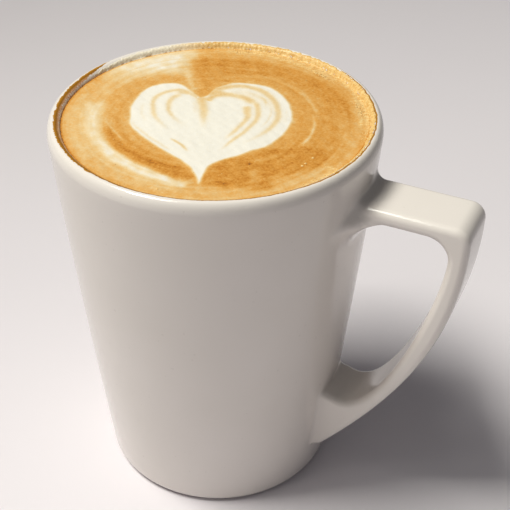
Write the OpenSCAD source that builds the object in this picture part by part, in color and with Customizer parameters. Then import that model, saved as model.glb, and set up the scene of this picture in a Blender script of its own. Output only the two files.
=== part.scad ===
// A latte in a tall conical porcelain mug with a strap handle.
// Millimetres. The origin is the centre of the base, +Z is up and the handle points along +X.
// The mug and its handle are one piece of porcelain. The drink is one solid that fills the
// mug's well face to face, up to its level.

/* [Mug] */
// Height from the base to the crest of the lip
mug_h = 110; // [92:0.5:132]
// Largest outer radius, at the foot of the lip
rim_r = 43.1; // [36:0.1:52]
// Outer radius that the side would have at the base
base_r = 32.7; // [28:0.1:37]
// How far the side bows out at half its height
side_bow = 0.37; // [0:0.01:1.5]
// Thickness of the side
wall_t = 3.5; // [2.8:0.1:5]
// Thickness of the floor
floor_t = 6; // [4:0.1:9]
// Radius of the outer corner at the base
base_round = 2.7; // [1:0.1:4]
// Radius of the inner corner at the floor
well_round = 9; // [4:0.5:14]

/* [Lip] */
// Height of the curve outside the crest
lip_outer_h = 3.2; // [2:0.1:6]
// Width of the curve outside the crest
lip_outer_w = 1.8; // [0.8:0.1:2]
// Radius of the curve inside the crest; the side's thickness limits it
lip_inner_r = 1.7; // [1:0.1:2.4]

/* [Drink] */
// How far the surface of the drink lies below the crest
headspace = 1.4; // [0.3:0.1:12]

/* [Handle] */
// How far the handle stands out past the largest radius of the mug
handle_reach = 28; // [22:0.5:36]
// Width of the strap
strap_w = 16; // [12:0.5:20]
// Drop from the crest to the flat top of the strap
strap_drop = 12; // [10:0.5:20]
// Thickness of the strap along its flat top
strap_top_t = 4.3; // [3:0.1:6]
// Thickness of the strap where it turns down
strap_side_t = 5.1; // [4:0.1:8]
// Radius of the strap's long edges
edge_round = 1.9; // [0.5:0.1:1.9]
// Outer radius of the corner where the strap turns down
elbow_outer_r = 4; // [3:0.5:8]
// Inner radius of the corner where the strap turns down
elbow_inner_r = 6; // [3:0.5:8]
// Height of the lowest point of the lower root
root_low_z = 11.2; // [8:0.1:16]
// Height of the top of the lower root, before its blend
root_high_z = 32.2; // [26:0.1:40]

/* [Blends] */
// Radius of the blend above and beside the upper root
blend_r = 3; // [1:0.5:6]
// Radius of the blend below the upper root
blend_under_r = 9.5; // [4:0.5:11]
// Rise of the blend above the lower root
blend_low = 4.5; // [1:0.5:6]
// Spread of the blend on each side of the lower root
blend_low_side = 2; // [0:0.5:3]

/* [Hidden] */

round_fn = 128;        // facets of the turned shapes in previews
bow_steps = 8;         // straight stretches of the bowed side
curve_steps = 8;       // straight stretches of each small curve
elbow_steps = 7;       // rings of the handle round its corner
descent_steps = 26;    // rings of the handle down to the lower root
flat_steps = 4;        // rings of the handle along its flat top
blend_steps = 8;       // rings of the handle in each blend
edge_steps = 4;        // facets of each rounded long edge
clear_of_top = 5;      // how far a cutter passes above the crest

lip_foot_z = mug_h - lip_outer_h;
crest_r = rim_r - lip_outer_w;
lip_inner = min(lip_inner_r, wall_t - lip_outer_w);
lip_inner_z = mug_h - lip_inner;
level_z = mug_h - headspace;

// The side: a cone with a slight outward bow.
function side_r(z) =
    let (s = z / lip_foot_z)
    base_r + (rim_r - base_r) * s + side_bow * 4 * s * (1 - s);

// The well: parallel to the side, and upright behind the lip's inner curve.
function well_r(z) = min(side_r(z) - wall_t, crest_r - lip_inner);

function arc(centre, rx, ry, from, to, steps) = [
    for (i = [0:steps])
        let (a = from + (to - from) * i / steps)
        [centre[0] + rx * cos(a), centre[1] + ry * sin(a)]
];

function heights(from, to, steps) = [for (i = [0:steps]) from + (to - from) * i / steps];

// Outside of the mug, from the base to the crest.
outer_line = concat(
    arc([side_r(base_round) - base_round, base_round], base_round, base_round, -90, -6, curve_steps),
    [for (z = heights(2 * base_round, lip_foot_z, bow_steps)) [side_r(z), z]],
    arc([crest_r, lip_foot_z], lip_outer_w, lip_outer_h, 90 / curve_steps, 90, curve_steps - 1)
);

// Inside of the mug: the well up to where the drink can touch it, then the rest of the lip.
well_foot = arc(
    [well_r(floor_t + well_round) - well_round, floor_t + well_round],
    well_round, well_round, -90, 0, curve_steps
);
well_side = [
    for (z = heights(floor_t + well_round + 4, lip_inner_z, bow_steps))
        if (z < level_z) [well_r(z), z]
];
// Angle round the lip's inner curve at which the drink's surface meets it.
level_angle = 180 - asin(max(0, min(1, (level_z - lip_inner_z) / lip_inner)));
lip_centre = [crest_r, lip_inner_z];
lip_wet = level_z > lip_inner_z
    ? arc(lip_centre, lip_inner, lip_inner,
        180 - (180 - level_angle) / curve_steps, level_angle, curve_steps - 1)
    : [[well_r(level_z), level_z]];
lip_dry = level_z > lip_inner_z
    ? arc(lip_centre, lip_inner, lip_inner, (level_angle * 3 + 90) / 4, 90, 3)
    : concat([[well_r(lip_inner_z), lip_inner_z]], arc(lip_centre, lip_inner, lip_inner, 150, 90, 3));
wetted_line = concat(well_foot, well_side, lip_wet);

module cup() {
    rotate_extrude($fn = round_fn)
        polygon(concat(
            [[0, 0]],
            outer_line,
            [for (i = [len(lip_dry) - 2:-1:0]) lip_dry[i]],
            [for (i = [len(wetted_line) - 1:-1:0]) wetted_line[i]],
            [[0, floor_t]]
        ));
}

// The handle's outer and inner lines lie in the XZ plane as [x, z] points.
strap_top_z = mug_h - strap_drop;
strap_under_z = strap_top_z - strap_top_t;
out_x = rim_r + handle_reach;
in_x = out_x - strap_side_t;

function bezier(p, t) =
    pow(1 - t, 3) * p[0] + 3 * pow(1 - t, 2) * t * p[1]
    + 3 * (1 - t) * t * t * p[2] + pow(t, 3) * p[3];

// A descending curve that starts straight down. The fractions place its two inner handles.
function descent(start, end, fall, across, rise) = [
    start,
    [start[0], start[1] - fall * (start[1] - end[1])],
    [end[0] + across * (start[0] - end[0]), end[1] + rise * (start[1] - end[1])],
    end
];
outer_curve = descent(
    [out_x, strap_top_z - elbow_outer_r],
    [side_r(root_low_z) + 2, root_low_z + 1.2],
    0.364, 0.64, 0.332
);
inner_curve = descent(
    [in_x, strap_under_z - elbow_inner_r],
    [side_r(root_high_z) + 3, root_high_z],
    0.221, 0.46, -0.109
);

// How far a round blend of radius r stands off the strap at a distance out from the side.
function blend(distance, r) =
    let (d = 1 - max(0, min(1, distance / r)))
    r * (1 - sqrt(1 - d * d));

// Each ring of the handle is [outer point, inner point, width, cling]. Cling says how closely
// the ring follows the round and leaning side of the mug, from 0 to 1.
upper_wall_x = side_r(strap_top_z);
upper_start_x = upper_wall_x - wall_t * 0.8;
function upper_ring(x) =
    let (out = x - upper_wall_x)
    [
        [x, strap_top_z + blend(out, blend_r)],
        [x, strap_under_z - blend(out, blend_under_r)],
        strap_w + 2 * blend(out, blend_r),
        max(0, min(1, 1 - out / blend_under_r))
    ];

upper_rings = concat(
    [upper_ring(upper_start_x)],
    [for (i = [0:blend_steps]) upper_ring(upper_wall_x + blend_under_r * pow(i / blend_steps, 1.5))],
    [
        for (i = [1:flat_steps])
            let (from = upper_wall_x + blend_under_r, to = in_x - elbow_inner_r)
            if (to > from) upper_ring(from + (to - from) * i / flat_steps)
    ]
);

elbow_rings = [
    for (i = [1:elbow_steps])
        let (a = 90 - 90 * i / elbow_steps)
        [
            [out_x - elbow_outer_r + elbow_outer_r * cos(a), strap_top_z - elbow_outer_r * (1 - sin(a))],
            [in_x - elbow_inner_r + elbow_inner_r * cos(a), strap_under_z - elbow_inner_r * (1 - sin(a))],
            strap_w,
            0
        ]
];

descent_rings = [
    for (i = [1:descent_steps])
        let (t = i / descent_steps)
        [bezier(outer_curve, t), bezier(inner_curve, t), strap_w, 0]
];

lower_inner_wall_x = side_r(root_high_z + blend_low);
lower_rings = [
    for (i = [1:blend_steps])
        let (
            t = i / blend_steps,
            low = outer_curve[3],
            high = inner_curve[3],
            low_end = [side_r(root_low_z) - wall_t * 0.8, root_low_z],
            high_end = [lower_inner_wall_x - wall_t * 0.8, root_high_z + blend_low],
            b = 1 - sqrt(1 - t * t)
        )
        [
            [low[0] + (low_end[0] - low[0]) * t, low[1] + (low_end[1] - low[1]) * sin(90 * t)],
            [high[0] + (high_end[0] - high[0]) * t, high[1] + (high_end[1] - high[1]) * b],
            strap_w + 2 * blend_low_side * b,
            0
        ]
];

rings = concat(upper_rings, elbow_rings, descent_rings, lower_rings);

// How far the side of the mug lies from where it is in the middle of the upper root.
function side_offset(y, z) =
    let (r = side_r(min(z, lip_foot_z)))
    sqrt(r * r - y * y) - upper_wall_x;

// A ring's outline: a rectangle across the strap with rounded corners, as [x, y, z] points.
function ring_points(ring) =
    let (
        span = ring[0] - ring[1],
        t = norm(span),
        along = span / t,
        middle = (ring[0] + ring[1]) / 2,
        r = min(edge_round, 0.48 * t),
        u = t / 2 - r,
        v = ring[2] / 2 - r
    )
    [
        for (corner = [0:3], i = [0:edge_steps])
            let (
                a = 90 * (corner + i / edge_steps),
                su = corner == 0 || corner == 3 ? 1 : -1,
                sv = corner < 2 ? 1 : -1,
                du = su * u + r * cos(a),
                dv = sv * v + r * sin(a),
                z = middle[1] + along[1] * du
            )
            [middle[0] + along[0] * du + ring[3] * side_offset(dv, z), dv, z]
    ];

module strap() {
    side = 4 * (edge_steps + 1);
    last = len(rings) - 1;
    points = [for (ring = rings) each ring_points(ring)];
    walls = [
        for (i = [0:last - 1], j = [0:side - 1])
            let (
                a = i * side + j,
                b = i * side + (j + 1) % side,
                c = a + side,
                d = b + side
            )
            each [[a, b, d], [a, d, c]]
    ];
    caps = [
        [for (j = [side - 1:-1:0]) j],
        [for (j = [0:side - 1]) last * side + j]
    ];
    polyhedron(points = points, faces = concat(walls, caps), convexity = 6);
}

// The strap ends inside the side of the cup, half way through it.
module inside_of_side() {
    cylinder(h = mug_h + clear_of_top, r1 = base_r - wall_t / 2,
        r2 = side_r(mug_h + clear_of_top) - wall_t / 2, $fn = round_fn);
}

module mug() {
    color("#e9e4da")
    union() {
        cup();
        difference() {
            strap();
            inside_of_side();
        }
    }
}

module latte() {
    color("#c89a72")
    rotate_extrude($fn = round_fn)
        polygon(concat([[0, floor_t]], wetted_line, [[0, level_z]]));
}

mug();
latte();
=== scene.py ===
"""A latte with poured heart art, in a tall conical mug of white porcelain with a strap handle.

Lengths are in millimetres until they go into Blender, which takes metres. The pattern on the
foam, the stain, the camera and the lights are laid out in a view frame: +Y looks away from the
camera and +X to the right. The part's own frame is that one turned by HANDLE_TURN about Z.
"""
import math

import bpy
import numpy as np
from mathutils import Matrix, Quaternion, Vector


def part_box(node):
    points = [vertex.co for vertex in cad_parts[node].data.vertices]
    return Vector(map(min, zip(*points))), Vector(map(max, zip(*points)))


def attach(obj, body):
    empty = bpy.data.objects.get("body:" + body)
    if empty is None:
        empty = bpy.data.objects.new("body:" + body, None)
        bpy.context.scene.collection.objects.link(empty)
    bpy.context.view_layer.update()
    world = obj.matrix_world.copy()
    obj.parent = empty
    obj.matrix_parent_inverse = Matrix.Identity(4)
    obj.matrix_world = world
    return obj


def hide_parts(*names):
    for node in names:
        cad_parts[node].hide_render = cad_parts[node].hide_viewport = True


MM = 0.001
HANDLE_TURN = 24.5

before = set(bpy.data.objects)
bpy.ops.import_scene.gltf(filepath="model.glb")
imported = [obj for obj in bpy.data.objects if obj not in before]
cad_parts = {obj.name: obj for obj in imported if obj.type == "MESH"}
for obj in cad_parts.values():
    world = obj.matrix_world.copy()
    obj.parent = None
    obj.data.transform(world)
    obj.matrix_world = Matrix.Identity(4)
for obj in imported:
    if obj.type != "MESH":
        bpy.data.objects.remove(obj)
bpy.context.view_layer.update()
mug_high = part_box("mug")[1] / MM
drink_low, drink_high = (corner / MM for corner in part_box("latte"))

# The mug, with the same values as the part's source.
MUG_H = mug_high.z
RIM_R = 43.1
BASE_R = 32.7
SIDE_BOW = 0.37
WALL_T = 3.5
FLOOR_T = drink_low.z
BASE_ROUND = 2.7
WELL_ROUND = 9.0
LIP_OUTER_H = 3.2
LIP_OUTER_W = 1.8
LIP_INNER_R = 1.7
LEVEL_Z = drink_high.z
LIP_FOOT_Z = MUG_H - LIP_OUTER_H
CREST_R = RIM_R - LIP_OUTER_W
LIP_Z = MUG_H - LIP_INNER_R

# The strap handle.
OUT_X = mug_high.x
STRAP_W = 16.0
STRAP_TOP_Z = MUG_H - 12.0
STRAP_TOP_T = 4.3
STRAP_SIDE_T = 5.1
STRAP_UNDER_Z = STRAP_TOP_Z - STRAP_TOP_T
IN_X = OUT_X - STRAP_SIDE_T
EDGE_ROUND = 1.9
ELBOW_OUTER_R = 4.0
ELBOW_INNER_R = 6.0
ROOT_LOW_Z = 11.2
ROOT_HIGH_Z = 32.2
BLEND_R = 3.0
BLEND_UNDER_R = 9.5
BLEND_LOW_R = 1.0


# ---- helpers

def smooth(t):
    t = np.clip(t, 0, 1)
    return t * t * (3 - 2 * t)


def turned(xy, degrees=HANDLE_TURN):
    """Points of the view frame, turned into the part's frame."""
    a = math.radians(degrees)
    c, s = math.cos(a), math.sin(a)
    out = np.array(xy, float)
    out[..., 0], out[..., 1] = c * xy[..., 0] - s * xy[..., 1], s * xy[..., 0] + c * xy[..., 1]
    return out


def arc(centre, rx, ry, start, end, steps):
    """Points of an ellipse's arc, between two angles in degrees."""
    a = np.radians(np.linspace(start, end, steps + 1))
    return np.stack([centre[0] + rx * np.cos(a), centre[1] + ry * np.sin(a)], 1)


def spline(points, closed=False, per=6):
    """A smooth line through the points."""
    p = np.array(points, float)
    if closed:
        ext = np.vstack([p[-1:], p, p[:2]])
    else:
        ext = np.vstack([2 * p[0] - p[1], p, 2 * p[-1] - p[-2]])
    t = np.arange(per)[:, None] / per
    parts = [
        0.5 * (2 * b + (c - a) * t + (2 * a - 5 * b + 4 * c - d) * t ** 2
               + (3 * b - a - 3 * c + d) * t ** 3)
        for a, b, c, d in zip(ext[:-3], ext[1:-2], ext[2:-1], ext[3:])
    ]
    return np.vstack(parts + [p[:1] if closed else p[-1:]])


def nearest(points, line):
    """Each point's distance to the line, and where along the line its nearest place is, 0 to 1."""
    a = line[:-1]
    ab = line[1:] - a
    length2 = np.maximum((ab ** 2).sum(1), 1e-12)
    distance = np.empty(len(points))
    where = np.empty(len(points))
    for first in range(0, len(points), 6000):
        chunk = points[first:first + 6000]
        rel = chunk[:, None, :] - a
        t = np.clip((rel * ab).sum(2) / length2, 0, 1)
        d2 = ((rel - t[..., None] * ab) ** 2).sum(2)
        k = d2.argmin(1)
        rows = np.arange(len(chunk))
        distance[first:first + 6000] = np.sqrt(d2[rows, k])
        where[first:first + 6000] = (k + t[rows, k]) / len(a)
    return distance, where


def inside(points, outline):
    """Which points lie inside a closed outline."""
    result = np.zeros(len(points), bool)
    x, y = points[:, 0], points[:, 1]
    for (x1, y1), (x2, y2) in zip(outline[:-1], outline[1:]):
        if y1 == y2:
            continue
        crosses = (y1 > y) != (y2 > y)
        result ^= crosses & (x < (x2 - x1) * (y - y1) / (y2 - y1) + x1)
    return result


def waves(points, size, seed, count=9):
    """Smooth random hills about one unit high, size millimetres across."""
    gen = np.random.default_rng(seed)
    total = np.zeros(len(points))
    for _ in range(count):
        angle = gen.uniform(0, 2 * math.pi)
        k = 2 * math.pi / (size * gen.uniform(0.7, 1.6))
        direction = np.array([math.cos(angle), math.sin(angle)])
        total += np.sin(points[:, :2] @ direction * k + gen.uniform(0, 2 * math.pi))
    return total / math.sqrt(count / 2)


def bridge(a, b):
    """Quads between two closed rings of points."""
    return np.stack([a, b, np.roll(b, -1), np.roll(a, -1)], 1).tolist()


def mesh_object(name, points, faces, material, attributes=None):
    """A smooth mesh from points in millimetres."""
    mesh = bpy.data.meshes.new(name)
    mesh.from_pydata((np.asarray(points) * MM).tolist(), [], faces)
    mesh.update()
    mesh.shade_smooth()
    for key, values in (attributes or {}).items():
        layer = mesh.attributes.new(key, "FLOAT", "POINT")
        layer.data.foreach_set("value", np.asarray(values, np.float32))
    mesh.materials.append(material)
    obj = bpy.data.objects.new(name, mesh)
    bpy.context.scene.collection.objects.link(obj)
    return obj


def linear(srgb):
    """A colour of three values from 0 to 255, as Blender's linear colour."""
    c = np.array(srgb, float) / 255
    c = np.where(c <= 0.04045, c / 12.92, ((c + 0.055) / 1.055) ** 2.4)
    return (*c.tolist(), 1.0)


class Material:
    """A node material around the one Principled shader."""

    def __init__(self, name, **values):
        self.mat = bpy.data.materials.new(name)
        self.mat.use_nodes = True
        self.nodes = self.mat.node_tree.nodes
        self.links = self.mat.node_tree.links
        self.shader = self.nodes["Principled BSDF"]
        for key, value in values.items():
            self.shader.inputs[key.replace("_", " ")].default_value = value

    def add(self, kind, settings=None, **inputs):
        n = self.nodes.new("ShaderNode" + kind)
        for key, value in (settings or {}).items():
            setattr(n, key, value)
        for key, value in inputs.items():
            name = int(key[1:]) if key[0] == "i" and key[1:].isdigit() else key.replace("_", " ")
            if isinstance(value, bpy.types.NodeSocket):
                self.links.new(value, n.inputs[name])
            else:
                n.inputs[name].default_value = value
        return n

    def noise(self, size, detail=2.0, roughness=0.5, distortion=0.0):
        """Noise whose hills are about that many millimetres across, from 0 to 1."""
        place = self.add("TexCoord").outputs["Object"]
        n = self.add("TexNoise", Vector=place, Scale=1 / (size * MM), Detail=detail,
                     Roughness=roughness, Distortion=distortion)
        return n.outputs["Fac"]

    def value(self, name):
        return self.add("Attribute", {"attribute_name": name}).outputs["Fac"]

    def math(self, operation, a, b=0.0, c=0.0):
        return self.add("Math", {"operation": operation}, i0=a, i1=b, i2=c).outputs[0]

    def ramp(self, value, stops):
        n = self.add("ValToRGB", Fac=value)
        elements = n.color_ramp.elements
        while len(elements) < len(stops):
            elements.new(0.5)
        for element, (position, colour) in zip(elements, stops):
            element.position = position
            element.color = linear(colour) if len(colour) == 3 else colour
        return n.outputs["Color"]

    def mix(self, factor, a, b):
        return self.add("Mix", {"data_type": "RGBA"}, i0=factor, i6=a, i7=b).outputs[2]

    def along(self, direction, offset=0.0):
        """Metres along a direction of the view frame, times its length."""
        place = self.add("SeparateXYZ", Vector=self.add("TexCoord").outputs["Object"])
        x, y = turned(np.array(direction)).tolist()
        return self.math("MULTIPLY_ADD", place.outputs["X"], x,
                         self.math("MULTIPLY_ADD", place.outputs["Y"], y, offset))

    def to(self, socket, value):
        self.links.new(value, self.shader.inputs[socket])

    def bump(self, height, depth, strength=1.0):
        """Relief of that many millimetres."""
        n = self.add("Bump", Height=height, Distance=depth * MM, Strength=strength)
        self.to("Normal", n.outputs["Normal"])


# ---- the mug

def side_r(z):
    """Radius of the mug's side at a height."""
    s = z / LIP_FOOT_Z
    return BASE_R + (RIM_R - BASE_R) * s + SIDE_BOW * 4 * s * (1 - s)


def well_r(z):
    """Radius of the well at a height."""
    return np.minimum(side_r(z) - WALL_T, CREST_R - LIP_INNER_R)


def lip_z(r):
    """Height of the lip's inner curve at a radius."""
    return LIP_Z + np.sqrt(np.maximum(LIP_INNER_R ** 2 - (CREST_R - r) ** 2, 0))


def bezier(p, t):
    """Points of a cubic curve with four control points, at the shares t of its run."""
    t = np.asarray(t, float)[:, None]
    a, b, c, d = (np.array(q) for q in p)
    return (1 - t) ** 3 * a + 3 * (1 - t) ** 2 * t * b + 3 * (1 - t) * t * t * c + t ** 3 * d


def descent(start, end, fall, across, rise):
    """Control points of a line down the strap. The last three values are shares of its run."""
    return [
        start,
        (start[0], start[1] - fall * (start[1] - end[1])),
        (end[0] + across * (start[0] - end[0]), end[1] + rise * (start[1] - end[1])),
        end,
    ]


OUTER_CURVE = descent(
    (OUT_X, STRAP_TOP_Z - ELBOW_OUTER_R), (side_r(ROOT_LOW_Z) + 2, ROOT_LOW_Z + 1.2),
    0.364, 0.64, 0.332,
)
INNER_CURVE = descent(
    (IN_X, STRAP_UNDER_Z - ELBOW_INNER_R), (side_r(ROOT_HIGH_Z) + 3, ROOT_HIGH_Z),
    0.221, 0.46, -0.109,
)
# Radius inside the mug's side where the strap's outline is closed.
STRAP_DEEP_X = 26.0


def strap_outline():
    """The handle's side view, closed deep inside the mug, as [x, z] points."""
    t = np.linspace(0, 1, 41)
    outer = np.vstack([
        [(STRAP_DEEP_X, STRAP_TOP_Z)],
        arc((OUT_X - ELBOW_OUTER_R, STRAP_TOP_Z - ELBOW_OUTER_R),
            ELBOW_OUTER_R, ELBOW_OUTER_R, 90, 0, 16),
        bezier(OUTER_CURVE, t)[1:],
        [(side_r(ROOT_LOW_Z) - 1, ROOT_LOW_Z), (STRAP_DEEP_X, ROOT_LOW_Z - 0.4)],
    ])
    inner = np.vstack([
        [(STRAP_DEEP_X, ROOT_HIGH_Z + 1.5), (side_r(ROOT_HIGH_Z), ROOT_HIGH_Z + 0.6)],
        bezier(INNER_CURVE, t)[::-1],
        arc((IN_X - ELBOW_INNER_R, STRAP_UNDER_Z - ELBOW_INNER_R),
            ELBOW_INNER_R, ELBOW_INNER_R, 0, 90, 16)[1:],
        [(STRAP_DEEP_X, STRAP_UNDER_Z), (STRAP_DEEP_X, STRAP_TOP_Z)],
    ])
    return np.vstack([outer, inner])


STRAP_OUTLINE = strap_outline()


def handle_surface(p):
    """Signed distance to the mug's side and handle, joined with rounded fillets."""
    x, y, z = p.T
    lean = (RIM_R - BASE_R) / LIP_FOOT_Z
    side = (np.hypot(x, y) - side_r(z)) / math.hypot(1, lean)
    flat = np.stack([x, z], 1)
    gap = nearest(flat, STRAP_OUTLINE)[0]
    gap = np.where(inside(flat, STRAP_OUTLINE), -gap, gap) + EDGE_ROUND
    across = np.abs(y) - (STRAP_W / 2 - EDGE_ROUND)
    strap = (np.minimum(np.maximum(gap, across), 0)
             + np.hypot(np.maximum(gap, 0), np.maximum(across, 0)) - EDGE_ROUND)
    upper = BLEND_R + (BLEND_UNDER_R - BLEND_R) * smooth((STRAP_TOP_Z - z) / (STRAP_TOP_T + 1))
    k = np.where(z > MUG_H / 2, upper, BLEND_LOW_R)
    return np.maximum(k, np.minimum(side, strap)) - np.hypot(
        np.maximum(k - side, 0), np.maximum(k - strap, 0))


def settle(p, surface, rounds=6, step=0.02, reach=1.5):
    """Moves points onto a surface along its slope."""
    p = p.copy()
    for _ in range(rounds):
        here = surface(p)
        slope = np.stack([
            (surface(p + step * axis) - surface(p - step * axis)) / (2 * step)
            for axis in np.eye(3)
        ], 1)
        move = slope * (here / np.maximum((slope ** 2).sum(1), 0.05))[:, None]
        size = np.linalg.norm(move, axis=1, keepdims=True)
        p -= move * np.minimum(1, reach / np.maximum(size, 1e-9))
    return p


COLUMNS = 240          # round the mug
ROOT_HALF = 12         # columns from the handle's middle to the edge of each root's gap
ROOT_ROWS = 24         # rows over each root's gap
SIDE_CELLS = 24        # cells along each of the four sides of a handle ring
CORNER_CELLS = 6       # of those, cells in half a rounded corner
LOWER_ROOT = (8.6, 39.4)        # heights of the two gaps
UPPER_ROOT = (79.5, 103.3)
ROWS_BETWEEN = 32      # rows of the side between the gaps
LOW_HEIGHTS = (5.4, 7.0)        # rows of the side under the lower gap
UNDER_RADII = (8, 16, 23, 28)   # rows of the flat base
FLOOR_RADII = (16, 8)           # rows of the well's floor
WALL_LOOPS = 13        # loops that open from the strap to the edge of a gap
UPPER_LOOPS = 19       # loops round the strap next to the upper gap
LOWER_LOOPS = 21       # and next to the lower one
ROOT_T = 0.84          # share of the strap's descent where the lower root starts
TOP_LOOPS = 8          # loops along the strap's top, round its elbow and down to that root
ELBOW_LOOPS = 15
SIDE_LOOPS = 65
LIP_ROWS = (26, 20)    # rows of the lip's outer and inner curves
WALL_ROWS = 25         # rows of the well's wall
ROUND_ROWS = 10        # rows of a rounded corner


def cup_profile():
    """The mug's section from the base round to the floor, and the rows of the two roots."""
    lower = np.linspace(*LOWER_ROOT, ROOT_ROWS + 1)
    upper = np.linspace(*UPPER_ROOT, ROOT_ROWS + 1)
    between = np.linspace(lower[-1], upper[0], ROWS_BETWEEN + 2)[1:-1]
    heights = np.concatenate([LOW_HEIGHTS, lower, between, upper])
    under = [(r, 0.0) for r in UNDER_RADII]
    corner = arc((side_r(BASE_ROUND) - BASE_ROUND, BASE_ROUND),
                 BASE_ROUND, BASE_ROUND, -90, -6, ROUND_ROWS)
    side = np.stack([side_r(heights), heights], 1)
    lip_out = arc((CREST_R, LIP_FOOT_Z), LIP_OUTER_W, LIP_OUTER_H, 0, 90, LIP_ROWS[0])
    lip_in = arc((CREST_R, LIP_Z), LIP_INNER_R, LIP_INNER_R, 90, 180, LIP_ROWS[1])[1:]
    foot_z = FLOOR_T + WELL_ROUND
    depth = np.linspace(LIP_FOOT_Z, foot_z, WALL_ROWS + 1)[:-1]
    wall = np.stack([well_r(depth), depth], 1)
    foot = arc((well_r(foot_z) - WELL_ROUND, foot_z), WELL_ROUND, WELL_ROUND, 0, -90,
               ROUND_ROWS)
    floor = [(r, FLOOR_T) for r in FLOOR_RADII]
    rows = np.vstack([under, corner, side, lip_out, lip_in, wall, foot, floor])
    first = len(under) + len(corner)
    low_row = first + len(LOW_HEIGHTS)
    high_row = low_row + ROOT_ROWS + len(between) + 1
    return rows, low_row, high_row


def handle_ring(outer, inner):
    """A rounded rectangle across the strap, between two [x, z] points of its outline."""
    outer, inner = np.array(outer), np.array(inner)
    thick = np.linalg.norm(outer - inner)
    along = (outer - inner) / thick
    middle = (outer + inner) / 2
    r = min(EDGE_ROUND, 0.48 * thick)
    u, v = thick / 2 - r, STRAP_W / 2 - r
    flat_cells = SIDE_CELLS - 2 * CORNER_CELLS
    points = []
    for side in range(4):
        # The side runs between these two corners, half a corner at each end.
        angle = 90 * side
        signs = ((1, -1), (1, 1), (-1, 1), (-1, -1))
        a = np.array(signs[side]) * (u, v)
        b = np.array(signs[(side + 1) % 4]) * (u, v)
        first = arc(a, r, r, angle - 45, angle, CORNER_CELLS)
        last = arc(b, r, r, angle, angle + 45, CORNER_CELLS)
        middle_part = first[-1] + (last[0] - first[-1]) * (
            np.arange(1, flat_cells)[:, None] / flat_cells)
        points.append(np.vstack([first, middle_part, last[:-1]]))
    uv = np.vstack(points)
    xz = middle + uv[:, :1] * along
    return np.stack([xz[:, 0], uv[:, 1], xz[:, 1]], 1)


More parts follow.
